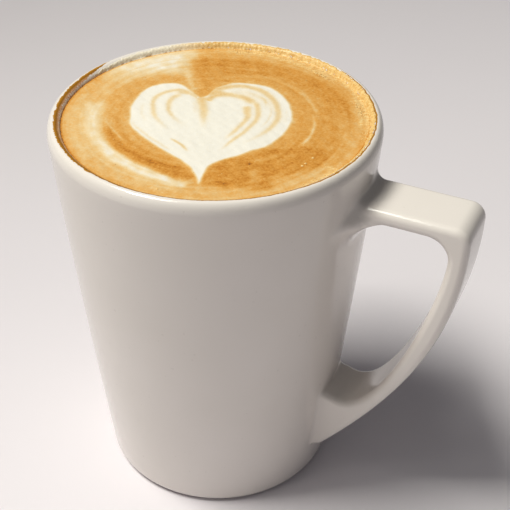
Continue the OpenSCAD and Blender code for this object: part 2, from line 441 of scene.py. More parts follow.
def build_mug():
    rows, low_row, high_row = cup_profile()
    angles = 2 * math.pi * np.arange(COLUMNS) / COLUMNS
    ring = np.stack([np.cos(angles), np.sin(angles)], 1)
    points = [
        np.column_stack([r * ring, np.full(COLUMNS, z)]) for r, z in rows
    ]
    points.append(np.array([[0, 0, 0], [0, 0, FLOOR_T]]))
    base_centre = len(rows) * COLUMNS
    floor_centre = base_centre + 1

    def at(row, column):
        return row * COLUMNS + column % COLUMNS

    def in_root(row, column):
        near = (column + ROOT_HALF) % COLUMNS < 2 * ROOT_HALF
        return near and any(first <= row < first + ROOT_ROWS for first in (low_row, high_row))

    faces = []
    for row in range(len(rows) - 1):
        for column in range(COLUMNS):
            if not in_root(row, column):
                faces.append((at(row, column), at(row, column + 1),
                              at(row + 1, column + 1), at(row + 1, column)))
    last = len(rows) - 1
    for column in range(COLUMNS):
        faces.append((base_centre, at(0, column + 1), at(0, column)))
        faces.append((floor_centre, at(last, column), at(last, column + 1)))

    def gap_loop(first, flip):
        """The edge of a root's gap, from its outer side at -Y and round by +Y."""
        top, bottom = first + ROOT_ROWS, first
        if flip:
            top, bottom = bottom, top
        step = 1 if bottom < top else -1
        across = range(-ROOT_HALF, ROOT_HALF)
        loop = [at(top, c) for c in across]
        loop += [at(row, ROOT_HALF) for row in range(top, bottom, -step)]
        loop += [at(bottom, -c) for c in across]
        loop += [at(row, -ROOT_HALF) for row in range(bottom, top, step)]
        return loop

    upper_loop = gap_loop(high_row, False)
    lower_loop = gap_loop(low_row, True)
    cup = np.vstack(points)

    # Free rings of the strap, from near the upper root round to near the lower one.
    start_x = side_r(STRAP_TOP_Z) + BLEND_UNDER_R + 1
    flat_end = IN_X - ELBOW_INNER_R
    rings = []
    for x in np.linspace(start_x, flat_end, TOP_LOOPS + 1)[:-1]:
        rings.append(((x, STRAP_TOP_Z), (x, STRAP_UNDER_Z)))
    # The outer line is longer than the inner one up to the corner.
    elbow_out = arc((OUT_X - ELBOW_OUTER_R, STRAP_TOP_Z - ELBOW_OUTER_R),
                    ELBOW_OUTER_R, ELBOW_OUTER_R, 90, 0, ELBOW_LOOPS - 1)
    elbow_in = arc((IN_X - ELBOW_INNER_R, STRAP_UNDER_Z - ELBOW_INNER_R),
                   ELBOW_INNER_R, ELBOW_INNER_R, 90, 0, ELBOW_LOOPS - 1)
    corner_shift = (OUT_X - ELBOW_OUTER_R) - flat_end
    rings = [((x + corner_shift * (x - start_x) / (flat_end - start_x), z), inner)
             for (x, z), inner in rings]
    rings += list(zip(elbow_out, elbow_in))
    free_t = np.linspace(0, ROOT_T, SIDE_LOOPS + 1)[1:]
    rings += list(zip(bezier(OUTER_CURVE, free_t), bezier(INNER_CURVE, free_t)))

    # From the upper gap's edge along the wall to the strap, round the strap, and out along the
    # wall again at the lower root.
    wall_x = side_r(STRAP_TOP_Z)
    upper_rings = [((x, STRAP_TOP_Z), (x, STRAP_UNDER_Z))
                   for x in np.linspace(wall_x, start_x, UPPER_LOOPS + 1)[:-1]]
    root_t = np.linspace(ROOT_T, 1, LOWER_LOOPS + 1)[1:]
    lower_rings = list(zip(bezier(OUTER_CURVE, root_t), bezier(INNER_CURVE, root_t)))
    strap_end = [np.array(q) for q in lower_rings[-1]]
    low_wall = [np.array((side_r(z) - 0.3, z)) for z in (ROOT_LOW_Z, ROOT_HIGH_Z + 0.6)]
    for s in (0.25, 0.5, 0.75, 1):
        lower_rings.append([a + (b - a) * s for a, b in zip(strap_end, low_wall)])
    strap_loops = [handle_ring(*q) for q in upper_rings + rings + lower_rings]
    open_up = np.linspace(0, 1, WALL_LOOPS + 2)[1:-1]
    loops = [cup[upper_loop] + (strap_loops[0] - cup[upper_loop]) * s for s in open_up]
    loops += strap_loops
    loops += [strap_loops[-1] + (cup[lower_loop] - strap_loops[-1]) * s for s in open_up]

    size = 4 * SIDE_CELLS
    first = len(cup)
    ids = [upper_loop]
    ids += [list(range(first + n * size, first + (n + 1) * size)) for n in range(len(loops))]
    ids.append(lower_loop)
    for a, b in zip(ids[:-1], ids[1:]):
        faces += bridge(a, b)

    everything = np.vstack([cup] + loops)
    near = np.zeros(len(everything), bool)
    near[first:] = True
    side_rows = slice((low_row - 1) * COLUMNS, (high_row + ROOT_ROWS) * COLUMNS)
    near[side_rows] = (everything[side_rows, 0] > 0) & (np.abs(everything[side_rows, 1]) < 20)
    everything[near] = settle(everything[near], handle_surface)

    # The vertices inside the two gaps, which no face uses, are dropped.
    used = np.zeros(len(everything), bool)
    for face in faces:
        used[list(face)] = True
    order = np.cumsum(used) - 1
    return everything[used], [tuple(int(order[v]) for v in face) for face in faces]


# The glaze is a little warmer in some places than in others, with a few faint specks.
GLAZE_WARM = (229, 222, 216)
GLAZE_COOL = (232, 225, 220)
SPECK_COLOUR = (150, 140, 128)
SPECK_SHARE = 0.12


def porcelain():
    m = Material("porcelain", Roughness=0.13, IOR=1.5, Specular_IOR_Level=0.5)
    tint = m.noise(26, detail=2)
    clean = m.ramp(tint, [(0.3, GLAZE_WARM), (0.7, GLAZE_COOL)])
    specks = m.math("GREATER_THAN", m.noise(1.3, detail=1), 0.775)
    m.to("Base Color", m.mix(m.math("MULTIPLY", specks, SPECK_SHARE), clean, linear(SPECK_COLOUR)))
    m.bump(m.math("ADD", m.noise(9, detail=1), m.math("MULTIPLY", m.noise(2.6, detail=2), 0.12)),
           0.05)
    return m.mat


# ---- the drink

# The pattern on the foam. Tone is 0 for dark crema and 1 for white milk foam.
BASE_TONE = 0.4
HEART = (
    (-4.2, 10.5), (-6, 12.4), (-8.5, 16), (-10.5, 17.8), (-13, 18.3), (-16, 17.4), (-19, 15),
    (-21, 11), (-22, 6), (-22.3, 1), (-21.5, -4), (-19.5, -8), (-16.5, -12), (-12.5, -16.5),
    (-8.5, -20.5), (-5.6, -24), (-3.9, -28), (-3, -31.5), (-2.1, -28), (-0.9, -24), (1.5, -21.5),
    (5, -19.5), (9, -17), (13, -14.5), (16, -10.5), (18.5, -5.5), (19.7, 0), (19.6, 4),
    (18.5, 9), (16, 14), (12.5, 17.2), (8.5, 18.4), (5, 18.6), (2, 17.5), (-0.5, 15.3),
    (-2.4, 12),
)

# Broad fields that lie under everything else: outline, tone, softness of the edge.
FIELDS = (
    # tan band round the left half
    (((-9, 41), (-26, 33), (-37, 20), (-41, 0), (-37, -17), (-26, -32), (-10, -40), (2, -41),
      (2, -36), (-8, -34.5), (-17, -29), (-24, -21), (-28, -12), (-29.5, 0), (-28, 10),
      (-22, 18), (-15, 23), (-8, 24)), 0.5, 2.5),
    # milk that spreads to the back left
    (((-5.5, 41), (-20, 38), (-32, 27), (-27, 19.5), (-20, 22), (-13, 24), (-9, 22),
      (-6.6, 15), (-7.4, 24), (-7.6, 32)), 0.66, 2.2),
    (((-8, 41), (-18, 39), (-27, 32), (-31, 26), (-26, 24), (-18, 25), (-12, 27)),
     0.88, 3.4),
    # dark wedge and field to the back right
    (((-4.2, 12), (-5.2, 17), (-6.4, 22), (-7.4, 27), (-7.6, 32), (-4, 33.5), (2, 34),
      (10, 33), (18, 30), (25, 25.5), (31, 19), (35, 11), (36, 2), (34, -8), (31, -16),
      (26, -24), (19, -30), (12, -35.5), (8, -33.5), (0, -33), (-3, -32), (-1, -22), (8, -18),
      (17, -12), (21, 0), (20, 10), (15, 17.5), (8, 20.5), (1, 19), (-3, 14)), 0.28, 2.1),
    # darker right edge field
    (((26, 22), (31, 18), (34, 11), (34, 4), (30.5, 4), (28, 12), (23, 19)), 0.2, 2.0),
    (((-6, 32), (2, 33), (12, 31), (21, 26.5), (20, 24), (12, 27), (3, 27.5), (-5, 26)),
     0.2, 2.0),
    # lower right, under the heart
    (((-2.2, -29), (-0.2, -24), (3, -21.5), (9, -19), (15, -15.5), (20, -15), (27, -15),
      (27.5, -20), (23, -26), (17, -29), (13.5, -34.5), (11, -35), (8.5, -32.5), (4, -33),
      (0, -32.5)), 0.17, 1.1),
)

# Strokes: points, tone, half width, strength, shares of the length that fade in and out. Tone
# and half width may be a pair, for the start and the end.
STROKES = (
    # back right
    (((-3, 22), (2, 24.5), (8, 25), (14, 24), (20, 21), (26, 18), (31, 14), (33, 10), (33, 4)),
     0.2, 1.1, 0.9, (0.15, 0.25)),
    (((-1, 28.5), (6, 29), (14, 27.5), (21, 24.5), (27, 20)), 0.25, 1.2, 0.6, (0.3, 0.3)),
    (((-2, 19), (3, 22), (8, 22.5), (14, 21.5), (20, 17), (24, 10), (25, 4)),
     0.45, 0.9, 0.8, (0.2, 0.2)),
    (((-0.5, 26.8), (6, 27), (13, 26)), 0.38, 0.6, 0.5, (0.3, 0.3)),
    (((-5, 25), (-5.2, 20), (-4.6, 15), (-4, 11)), 0.27, 1.6, 0.8, (0.3, 0.2)),
    (((0, 36.5), (10, 34.5), (19, 30.5), (27, 24.5), (33, 17), (36.5, 8), (37.5, -2), (35, -14)),
     0.44, 2.0, 0.85, (0.05, 0.2)),
    (((-6, 37), (0, 38.5), (10, 37.5), (19, 33.5), (27, 27), (33, 20)),
     0.5, 1.4, 0.7, (0.1, 0.2)),
    # right
    (((22.4, 13), (23.6, 6), (23.6, 0), (22.3, -6), (20, -12)), 0.38, 1.3, 0.7, (0.3, 0.3)),
    (((22, 15), (25, 8), (26, 0)), 0.56, 0.6, 0.7, (0.3, 0.3)),
    (((25.3, 3), (25.4, -1), (25, -5), (24.2, -8.5), (22.6, -12), (19.5, -16)),
     0.72, 0.45, 0.8, (0.35, 0.25)),
    (((28.5, 12), (29, 4), (28.6, -4), (27.5, -11), (25, -17)), 0.3, 1.2, 0.6, (0.3, 0.3)),
    (((32, 3), (32.4, -4), (31.5, -11), (29, -17)), 0.5, 0.8, 0.6, (0.3, 0.3)),
    (((30.5, -2), (30.3, -9), (28.5, -15)), 0.27, 0.6, 0.6, (0.3, 0.3)),
    (((35, 4), (35.5, -4), (34, -12), (31, -19)), 0.45, 1.0, 0.6, (0.3, 0.3)),
    (((27, -16), (22, -22.5), (16, -27.5)), 0.3, 1.0, 0.4, (0.3, 0.3)),
    (((18, -17.5), (12, -20.5), (6, -22.5)), 0.42, 0.8, 0.6, (0.3, 0.3)),
    (((21.5, -17), (17, -20.5), (12.5, -23)), 0.36, 0.7, 0.5, (0.3, 0.3)),
    # lower right
    (((0, -30.5), (3, -31.3), (7, -31)), 0.1, 1.1, 0.8, (0.3, 0.3)),
    (((11.5, -31), (12.6, -34.5)), 0.14, 1.1, 0.8, (0.3, 0.3)),
    (((8.8, -25), (9.6, -28.5), (9.3, -32)), 0.42, 0.9, 0.6, (0.3, 0.3)),
    (((12, -28.5), (17, -28.5), (22, -26.5), (26, -22.5)), 0.5, 1.1, 0.6, (0.3, 0.3)),
    (((13, -31.5), (18, -31), (24, -28), (29, -22)), 0.54, 1.5, 0.8, (0.2, 0.2)),
    (((2, -35.5), (8, -36), (16, -34.5), (24, -30.5), (31, -23)), 0.5, 1.8, 0.8, (0.1, 0.2)),
    (((5, -25.5), (9, -26.5), (13, -25.5)), 0.34, 0.8, 0.4, (0.3, 0.3)),
    # left, outside the heart
    (((-4.6, 13), (-7, 19), (-12, 20.6), (-18, 19.4), (-22.5, 16), (-25, 11), (-26, 5),
      (-25.5, -2), (-23, -9), (-18.5, -14.5), (-12, -19.5), (-6.2, -24)),
     0.38, 2.3, 0.95, (0.04, 0.05)),
    (((-28.4, -4), (-25.5, -10.5), (-22, -15.3), (-17, -19.8), (-12, -23.4), (-8, -26.4),
      (-4.6, -29.5)), 0.17, (2.3, 2.9), 1.0, (0.1, 0.03)),
    (((-27.2, -10), (-23.2, -15.6), (-18, -20.4), (-12, -25), (-7, -28.6)),
     0.09, 1.5, 0.7, (0.2, 0.1)),
    (((-24.5, -9.8), (-19, -15.4), (-12.5, -20.4), (-7.5, -24.4)),
     0.26, 0.5, 0.5, (0.3, 0.3)),
    (((-26.5, 12), (-27.8, 5), (-27.3, -1)), 0.36, 1.2, 0.7, (0.3, 0.3)),
    (((-30, 10), (-31.6, 5), (-31.8, 0), (-31.4, -5), (-30.2, -10), (-26.6, -17), (-21.2, -23.2),
      (-14.4, -28.6), (-9, -31.4), (-5.2, -32.8)), (0.84, 0.92), (2.9, 1.5), 0.95, (0.14, 0.06)),
    (((-29.6, -9), (-26.4, -15), (-21, -21.4), (-14, -27), (-8, -30.6)),
     0.93, 0.7, 0.7, (0.3, 0.2)),
    (((-28.5, -1.5), (-26.5, -5.5), (-23.5, -10.5), (-20, -14.6)), 0.62, 0.4, 0.7, (0.2, 0.4)),
    (((-33.5, 6), (-34, -2), (-32.5, -9), (-29, -17), (-23, -24.5), (-16, -30)),
     0.52, 0.9, 0.7, (0.2, 0.2)),
    (((-34.5, 14), (-36.4, 2), (-35.3, -9), (-31.5, -18.5), (-25, -26.5)),
     0.66, 1.6, 0.7, (0.3, 0.3)),
    (((-31, -15), (-26, -22), (-19, -28.5), (-11, -33.5), (-3, -35.5)),
     0.66, 0.6, 0.6, (0.3, 0.3)),
    (((-33, -17), (-27, -25.5), (-19, -32), (-9, -36.8), (1, -38)), 0.5, 1.2, 0.7, (0.2, 0.2)),
    (((-30, 17), (-25, 23), (-18, 26)), 0.66, 1.2, 0.5, (0.3, 0.3)),
    (((-33, 15), (-29.5, 21.5), (-24, 26.5)), 0.56, 1.0, 0.6, (0.3, 0.3)),
    (((-31, 10), (-28, 15.5), (-23.5, 20)), 0.55, 1.0, 0.6, (0.3, 0.3)),
    # the edge of the milk along the dark wedge
    (((-9.5, 30), (-8.6, 24), (-7.2, 18), (-5.6, 13.5)), 0.72, 0.9, 0.7, (0.3, 0.2)),
)

# Inside the heart, in the same form.
HEART_STROKES = (
    # left lobe
    (((-7, 13), (-10, 14.3), (-13, 13.7), (-15.5, 11.5), (-16.7, 7.5), (-16.3, 3), (-15, -1),
      (-13, -5), (-11, -8)), (0.7, 0.82), (0.85, 0.55), 0.95, (0.05, 0.35)),
    (((-8.5, 11.5), (-11, 11), (-12.3, 8), (-12.5, 4), (-11.5, 1), (-9.5, -2.5), (-7, -6)),
     (0.7, 0.82), (0.9, 0.55), 0.9, (0.15, 0.4)),
    (((-5, 10.5), (-7, 12.4), (-9.5, 13), (-11.5, 12)), 0.68, 0.8, 0.75, (0.05, 0.4)),
    (((-11.5, -10.5), (-9.5, -12.5), (-7.5, -15), (-6, -18)), 0.68, 0.4, 0.9, (0.3, 0.35)),
    (((-22, 0), (-20, -5), (-17, -9.5), (-13, -14), (-9, -18)), 0.8, 0.45, 0.6, (0.3, 0.3)),
    (((-19.3, 8), (-19.2, 2), (-17.6, -3)), 0.88, 0.5, 0.5, (0.3, 0.3)),
    (((-4, 10.5), (-3.6, 6), (-3.2, 2), (-2.9, -3), (-2.7, -8)), (0.6, 0.85), (1.4, 0.7), 0.9,
     (0.0, 0.5)),
    (((-6.2, 9), (-5.5, 5), (-5.2, 1)), 0.88, 0.5, 0.6, (0.3, 0.3)),
    # right lobe: crema round the white drop
    (((-2.4, 8.5), (-1, 11.3), (2.5, 12.2), (6.5, 11), (8.8, 8.6), (9, 6)),
     0.6, (0.9, 1.4), 0.95, (0.02, 0.25)),
    (((-2.6, 12), (0, 13.4), (3, 13)), 0.58, 1.0, 0.85, (0.1, 0.4)),
    (((7.9, 6.5), (8.1, 3), (8.1, 0), (6.6, -4), (4.2, -8.5), (2, -12)),
     (0.64, 0.8), (1.0, 0.55), 0.95, (0.1, 0.3)),
    (((10, 8.5), (10.7, 5), (10.8, 1), (9.8, -3), (7.8, -7), (5, -11), (3, -14), (1, -17)),
     (0.68, 0.8), (0.85, 0.5), 0.95, (0.1, 0.25)),
    # the cream between the drop and the outer line
    (((2, 12.8), (7, 13.2), (11, 11), (13.2, 7), (13.6, 2)), 0.84, 1.2, 0.7, (0.3, 0.4)),
    (((11, 11.5), (12.6, 9), (13, 5)), 0.75, 0.3, 0.7, (0.3, 0.4)),
    (((-2, 13), (0, 15.3), (3, 16.5), (7, 16.6), (11, 14.8), (14, 11), (15.7, 6), (16, 1),
      (15, -3.5), (12.5, -7.5), (9.5, -11), (6, -14)), (0.58, 0.8), (1.15, 0.65), 0.95,
     (0.0, 0.25)),
    (((13.8, 8), (14.3, 3), (13.2, -2), (11.2, -6)), 0.84, 0.35, 0.6, (0.3, 0.3)),
    (((18, 6), (18.2, 1), (17, -4)), 0.9, 0.5, 0.4, (0.3, 0.3)),
)

# Small dark and bright spots: x, y, radius, tone, strength.
SPOTS = (
    (8.7, -22.6, 0.75, -0.1, 0.9), (7.6, -21.8, 0.9, 0.1, 0.6), (10.2, -22.8, 1.0, 0.12, 0.5),
    (14, -22, 2.0, 0.2, 0.4), (21, -23, 1.6, 0.14, 0.5), (24.5, -19.8, 1.2, 0.12, 0.5),
    (32.5, 11.5, 2.6, 0.18, 0.5), (28, 19, 2.0, 0.2, 0.4), (4, 24.5, 3.0, 0.2, 0.3),
    (11, -28.6, 1.0, 0.5, 0.6), (9.5, -30, 0.9, 0.48, 0.5), (5.5, -24, 1.6, 0.3, 0.4),
    (6, 13.3, 2.6, 0.93, 0.6), (-3, -33.6, 1.6, 0.62, 0.6), (1, -34.6, 2.2, 0.56, 0.5),
)


class Foam:
    """The tone of each point of the foam, painted in layers."""

    def __init__(self, points):
        # A slight waver keeps the strokes from looking drawn.
        bend = np.stack([waves(points, 7, 11), waves(points, 7, 12)], 1)
        fine = np.stack([waves(points, 2.4, 13), waves(points, 2.4, 14)], 1)
        self.points = points + 0.07 * bend + 0.02 * fine
        self.tone = np.full(len(points), BASE_TONE)

    def blend(self, rows, tone, weight):
        self.tone[rows] += (tone - self.tone[rows]) * weight

    def close(self, line, margin):
        low, high = line.min(0) - margin, line.max(0) + margin
        return np.flatnonzero(((self.points > low) & (self.points < high)).all(1))

    def field(self, outline, tone, soft):
        line = spline(outline, closed=True)
        rows = self.close(line, 2 * soft)
        p = self.points[rows]
        gap = nearest(p, line)[0] * np.where(inside(p, line), 1, -1)
        self.blend(rows, tone, smooth(gap / (2 * soft) + 0.5))

    def stroke(self, points, tone, half_width, strength, fade, within=None):
        line = spline(points)
        widest = np.max(half_width)
        rows = self.close(line, 3 * widest)
        gap, where = nearest(self.points[rows], line)
        width = np.interp(where, (0, 1), np.broadcast_to(half_width, 2))
        level = np.interp(where, (0, 1), np.broadcast_to(tone, 2))
        weight = strength * np.exp(-(gap / width) ** 2)
        weight *= smooth(where / max(fade[0], 1e-3)) * smooth((1 - where) / max(fade[1], 1e-3))
        if within is not None:
            weight *= within[rows]
        self.blend(rows, level, weight)

    def spot(self, x, y, radius, tone, strength):
        gap = np.hypot(self.points[:, 0] - x, self.points[:, 1] - y)
        self.blend(slice(None), tone, strength * np.exp(-(gap / radius) ** 2))


def streaks(points):
    """Fine streaks that follow the flow of the pour round the cup."""
    centre = np.array([-1.5, -1.0])
    rel = points - centre
    r = np.hypot(rel[:, 0], rel[:, 1])
    a = np.arctan2(rel[:, 1], rel[:, 0])
    total = np.zeros(len(points))
    gen = np.random.default_rng(21)
    for _ in range(14):
        turns = gen.integers(1, 5)
        k = 2 * math.pi / gen.uniform(1.1, 4.0)
        total += np.sin(k * r + turns * a + gen.uniform(0, 2 * math.pi)) / 3.7
    return total


def paint_foam(points):
    foam = Foam(points)
    for outline, tone, soft in FIELDS:
        foam.field(outline, tone, soft)
    for stroke in STROKES:
        foam.stroke(*stroke)
    foam.tone += 0.04 * streaks(points) + 0.03 * waves(points, 4, 31)
    heart = spline(HEART, closed=True)
    rows = foam.close(heart, 2)
    p = foam.points[rows]
    gap = nearest(p, heart)[0] * np.where(inside(p, heart), 1, -1)
    white = np.zeros(len(points))
    white[rows] = smooth(gap / 1.1 + 0.5)
    foam.blend(slice(None), 0.97, white)
    for stroke in HEART_STROKES:
        foam.stroke(*stroke, within=white)
    for spot in SPOTS:
        foam.spot(*spot)
    return foam.tone


# Cells along each side of the grid that is pressed into the round foam.
GRID = 280
# Froth along the back and right edge and at the lower right: line, half width.
FROTH_LINES = (
    (((3, 39.1), (10, 37.7), (16, 35.8), (21, 33), (25, 30.2), (29, 26.4), (33, 21), (36, 15.5),
      (38, 9), (38.9, 2), (38.7, -5), (37.6, -11)), 0.8),
    (((-1, 37.6), (8, 37), (14, 34.8), (19, 32), (23.5, 28.6), (28, 24), (31.5, 19.5)), 0.6),
    (((36, 12), (37, 6), (37.3, 0), (36.6, -6)), 0.5),
    (((27, -23.5), (29.5, -25.5), (26, -28.7), (21, -32.5)), 0.7),
)
# Tone and half width of the painted shade line in the crease where the foam meets the lip.
EDGE_SHADE_TONE = -0.16
EDGE_SHADE_LINE = 0.42
# Heights of the drink's unseen sides, from under the foam down to its rounded foot.
SECTION_Z = (LIP_Z, 80, 50, FLOOR_T + WELL_ROUND)


def disc(cells):
    """A square grid pressed into a unit disc."""
    u, v = np.meshgrid(np.linspace(-1, 1, cells + 1), np.linspace(-1, 1, cells + 1))
    wide = np.abs(u) >= np.abs(v)
    r = np.where(wide, u, v)
    with np.errstate(divide="ignore", invalid="ignore"):
        a = np.where(wide, math.pi / 4 * v / u, math.pi / 2 - math.pi / 4 * u / v)
    a = np.where(r == 0, 0, a)
    return np.stack([r * np.cos(a), r * np.sin(a)], 2).reshape(-1, 2)


def build_drink():
    edge_r = CREST_R - math.sqrt(LIP_INNER_R ** 2 - (LEVEL_Z - LIP_Z) ** 2)
    xy = disc(GRID) * edge_r
    r = np.hypot(xy[:, 0], xy[:, 1])
    tone = paint_foam(xy)
    azimuth = np.degrees(np.arctan2(xy[:, 1], xy[:, 0]))

    # Froth is paler and creamier than the crema it lies on.
    froth = np.zeros(len(xy))
    for line, width in FROTH_LINES:
        gap, where = nearest(xy, spline(line))
        ragged = 1 + 0.35 * waves(xy, 2.2, 41)
        weight = np.exp(-(gap / (width * ragged)) ** 2) * smooth(where / 0.12)
        froth = np.maximum(froth, weight * smooth((1 - where) / 0.15))
    froth *= np.clip(0.62 + 0.3 * waves(xy, 1.3, 42), 0, 1)

    # Painted shade where the foam meets the lip: a wider darkening near the edge on the left, and a
    # dark line in the crease all round, strongest at the left and the front.
    shade_left = smooth((np.cos(np.radians(azimuth - 178)) + 0.25) / 0.6)
    line = np.exp(-((edge_r - r) / EDGE_SHADE_LINE) ** 2)
    shade_front = smooth((-np.sin(np.radians(azimuth)) + 0.1) / 0.5)
    tone = tone - 0.16 * shade_left * np.exp(-(edge_r - r) / 1.6)
    tone = tone + (EDGE_SHADE_TONE - tone) * line * np.clip(0.15 + 0.6 * shade_left + 0.55 * shade_front, 0, 0.9)

    relief = 0.05 * waves(xy, 14, 51) + 0.02 * waves(xy, 3, 52) + 0.05 * smooth(tone)
    edge = smooth((edge_r - r) / 2.5)
    z = LEVEL_Z + relief * edge + 0.08 * (1 - smooth((edge_r - r) / 0.9))
    z = np.where(r > edge_r - 1e-6, LEVEL_Z, z)

    n = GRID + 1
    top = np.column_stack([turned(xy), z])
    index = np.arange(n * n).reshape(n, n)
    faces = np.stack([index[:-1, :-1], index[:-1, 1:], index[1:, 1:], index[1:, :-1]],
                     2).reshape(-1, 4).tolist()
    loop = np.concatenate([index[0, :-1], index[:-1, -1], index[-1, :0:-1], index[:0:-1, 0]])
    direction = top[loop, :2] / np.linalg.norm(top[loop, :2], axis=1, keepdims=True)
    section = [(float(well_r(np.array(z))), z) for z in SECTION_Z]
    foot_r = section[-1][0] - WELL_ROUND
    section += [tuple(q) for q in arc((foot_r, FLOOR_T + WELL_ROUND), WELL_ROUND, WELL_ROUND,
                                      0, -90, 4)[1:]]
    points = [top]
    previous = loop
    count = len(top)
    size = len(loop)
    for radius, height in section:
        points.append(np.column_stack([direction * radius, np.full(size, height)]))
        row = np.arange(count, count + size)
        faces += bridge(previous, row)
        previous = row
        count += size
    points.append(np.array([[0, 0, FLOOR_T]]))
    faces += [(int(a), count, int(b)) for a, b in zip(previous, np.roll(previous, -1))]
    everything = np.vstack(points)
    extra = len(everything) - len(top)
    attributes = {
        # The tone holds the foam's pattern and, near the lip, the painted shade.
        "tone": np.concatenate([tone, np.full(extra, 0.3)]),
        "froth": np.concatenate([froth, np.zeros(extra)]),
    }
    return everything, faces, attributes


# Colour of each tone of the foam, and of the froth.
TONE_COLOURS = (
    (-0.2, (122, 88, 50)), (0.0, (184, 116, 36)), (0.2, (206, 144, 63)), (0.4, (217, 165, 92)),
    (0.6, (222, 187, 130)), (0.8, (228, 207, 168)), (1.0, (236, 234, 228)),
)
FROTH_COLOUR = (238, 208, 146)
# Share of the broad grain added to the fine.
BROAD_GRAIN = 0.26


def foam_material():
    m = Material("latte_foam", Roughness=0.42, IOR=1.36, Specular_IOR_Level=0.4)
    tone = m.value("tone")
    dark = m.math("SUBTRACT", 1.05, tone)
    fine = m.math("SUBTRACT", m.noise(0.75, detail=4, roughness=0.75), 0.5)
    broad = m.math("SUBTRACT", m.noise(2.6, detail=3, roughness=0.6, distortion=0.6), 0.5)
    grain = m.math("MULTIPLY_ADD", broad, BROAD_GRAIN, fine)
    mixed = m.math("MULTIPLY_ADD", grain, dark, tone)
    lowest = TONE_COLOURS[0][0]
    span = TONE_COLOURS[-1][0] - lowest
    place = m.math("MULTIPLY_ADD", mixed, 1 / span, -lowest / span)
    colour = m.ramp(place, [((t - lowest) / span, c) for t, c in TONE_COLOURS])
    froth = m.math("MULTIPLY", m.value("froth"), m.math("MULTIPLY_ADD", m.noise(0.7, 2), 0.9, 0.45))
    m.to("Base Color", m.mix(froth, colour, linear(FROTH_COLOUR)))
    m.bump(m.math("ADD", m.noise(0.5, detail=2), m.math("MULTIPLY", m.noise(3, detail=1), 0.7)),
           0.05)
    return m.mat


# ---- bubbles and stains

# Bubbles for each millimetre of froth line, loose ones, and the radius they all stay within.
BUBBLES_PER_MM = 6
LOOSE_BUBBLES = 260
BUBBLES_R = 39.4
# The few large bubbles, and their radius.
LARGE_BUBBLES = ((21.5, -23.5), (24.2, -19.8), (22.3, -22.4), (-12.5, -34.2))
LARGE_R = 0.38
# Cells round a bubble and up it, and its height as a share of its radius.
SECTORS = 8
BANDS = 3
DOME = 0.6


def build_bubbles():
    """Small domes of froth along the edge, and single bubbles in the crema."""
    rng = np.random.default_rng(7)
    spots = []
    for line, width in FROTH_LINES:
        path = spline(line)
        length = np.linalg.norm(np.diff(path, axis=0), axis=1).sum()
        for _ in range(int(length * BUBBLES_PER_MM)):
            at = rng.uniform(0, len(path) - 1)
            k = int(at)
            p = path[k] + (path[min(k + 1, len(path) - 1)] - path[k]) * (at - k)
            spots.append((*(p + rng.normal(0, width * 0.8, 2)), rng.uniform(0.07, 0.2)))
    for _ in range(LOOSE_BUBBLES):
        a, r = rng.uniform(0, 2 * math.pi), 39 * math.sqrt(rng.uniform(0.05, 1))
        spots.append((r * math.cos(a), r * math.sin(a), rng.uniform(0.06, 0.15)))
    spots += [(x, y, LARGE_R) for x, y in LARGE_BUBBLES]
    heart = spline(HEART, closed=True)
    points, faces = [], []
    for x, y, radius in spots:
        if math.hypot(x, y) + radius > BUBBLES_R or inside(np.array([[x, y]]), heart)[0]:
            continue
        low = LEVEL_Z + 0.02
        first = len(points)
        centre = turned(np.array([[x, y]]))[0]
        for band in range(BANDS):
            tilt = math.radians(78 * band / BANDS)
            for s in range(SECTORS):
                a = 2 * math.pi * s / SECTORS
                points.append((centre[0] + radius * math.cos(tilt) * math.cos(a),
                               centre[1] + radius * math.cos(tilt) * math.sin(a),
                               low + radius * DOME * math.sin(tilt)))
        points.append((*centre, low + radius * DOME))
        points.append((*centre, low - 0.05))
        crown, sole = len(points) - 2, len(points) - 1
        for band in range(BANDS - 1):
            for s in range(SECTORS):
                a, b = first + band * SECTORS + s, first + band * SECTORS + (s + 1) % SECTORS
                faces.append((a, b, b + SECTORS, a + SECTORS))
        top = first + (BANDS - 1) * SECTORS
        for s in range(SECTORS):
            faces.append((top + s, top + (s + 1) % SECTORS, crown))
            faces.append((first + (s + 1) % SECTORS, first + s, sole))
    return np.array(points), faces


def bubble_material():
    m = Material("froth_bubbles", Roughness=0.25, IOR=1.33, Specular_IOR_Level=0.5)
    m.to("Base Color", m.ramp(m.noise(3, detail=1), [(0.35, (226, 178, 104)), (0.65, FROTH_COLOUR)]))
    m.bump(m.noise(0.4), 0.01)
    return m.mat


# The dried ring of coffee on the lip: azimuth in the view frame, radius, half width.
STAIN = (
    (37, 41.2, 0.05), (30, 41.1, 0.16), (20, 41.0, 0.22), (8, 41.0, 0.26), (0, 41.0, 0.32),
    (-12, 41.0, 0.28), (-28, 41.0, 0.26), (-40, 41.0, 0.36), (-46, 41.0, 0.38),
    (-58, 40.8, 0.32), (-75, 40.65, 0.34), (-90, 40.6, 0.36), (-110, 40.6, 0.38),
    (-125, 40.6, 0.5), (-140, 40.55, 0.75), (-155, 40.5, 0.9), (-175, 40.5, 0.95),
    (-190, 40.5, 0.95), (-203, 40.5, 0.9), (-210, 40.7, 0.75), (-216, 41.0, 0.5),
    (-223, 41.4, 0.08),
)

# Cells across a film, degrees between its rows, how deep its edge and its underside sink
# into the lip, and the rows over which its ends taper.
FILM_CELLS = 8
FILM_STEP = 0.3
FILM_EDGE = 0.012
FILM_UNDER = 0.03
FILM_TAPER = 8


